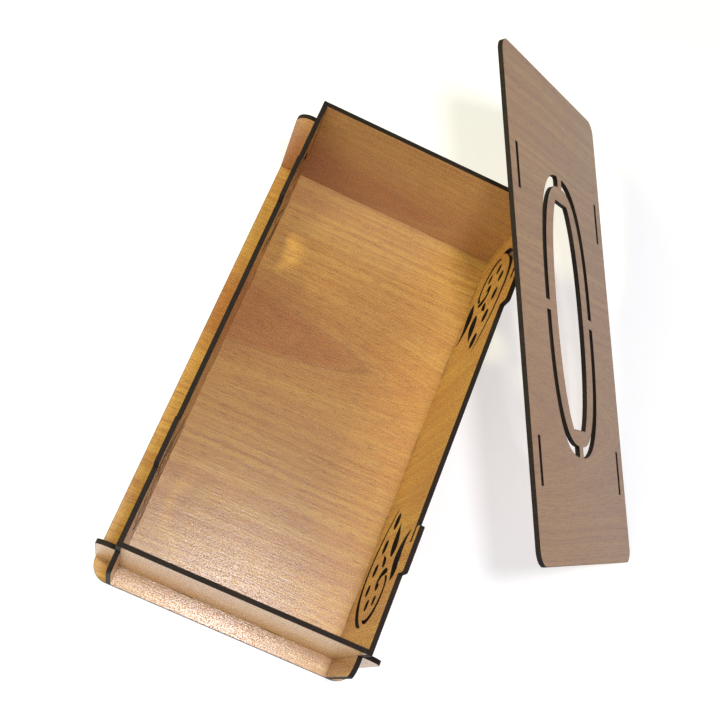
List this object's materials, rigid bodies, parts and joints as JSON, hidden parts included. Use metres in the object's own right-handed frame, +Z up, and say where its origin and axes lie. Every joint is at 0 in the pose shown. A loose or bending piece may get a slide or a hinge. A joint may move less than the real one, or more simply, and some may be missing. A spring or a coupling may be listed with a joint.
{
  "type": "tissue box with lift-off slotted lid",
  "caption": "Open rectangular tissue box of thin wood-faced board with crossed corners, pierced scroll sides and hooked tabs; its slotted lid leans against one corner.",
  "frame": {"origin": "centre of the base panel's underside", "axes": "+X across the box towards the side where the lid leans, +Y along the box towards the corner the lid leans on, +Z up"},
  "size_m": [0.2742, 0.3619, 0.1301],
  "materials": {
    "tray_board": "satin wood-decor face with dark cut edges",
    "lid_board": "satin wood-decor face with dark cut edges"
  },
  "bodies": {
    "tray": {"base_panel": "tray_board", "left_wall": "tray_board", "right_wall": "tray_board", "front_wall": "tray_board", "back_wall": "tray_board"},
    "lid": {"lid_panel": "lid_board"}
  },
  "joints": [
    {"name": "lid_tip", "type": "hinge", "parent": "tray", "child": "lid", "pos_m": [0.15867, 0.10485, 0], "axis": [-0.3623, 0.9321, 0], "range_deg": [0, 132]}
  ]
}
